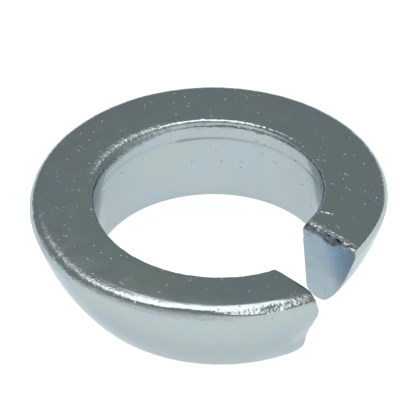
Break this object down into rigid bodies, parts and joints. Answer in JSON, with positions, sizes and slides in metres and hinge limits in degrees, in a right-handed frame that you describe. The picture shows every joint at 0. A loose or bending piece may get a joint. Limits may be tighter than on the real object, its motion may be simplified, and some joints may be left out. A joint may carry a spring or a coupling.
{
  "type": "conical spring washer",
  "caption": "Split ring of spring steel, coiled left hand, with a plain bore, a flat-faced top and a tapered, bulged underside that centres a wheel nut.",
  "frame": {"origin": "on the bore axis, halfway along the bore wall", "axes": "+Z along the bore axis out of the nut face, +X towards the split, with the higher end of the wire on its +Y side"},
  "size_m": [0.0296, 0.0294, 0.0112],
  "materials": {
    "zinc_plate": "bright zinc plate on spring steel, with a faint blue passivation tint and fine handling scratches"
  },
  "bodies": {
    "root": {"spring_washer": "zinc_plate"}
  },
  "joints": []
}
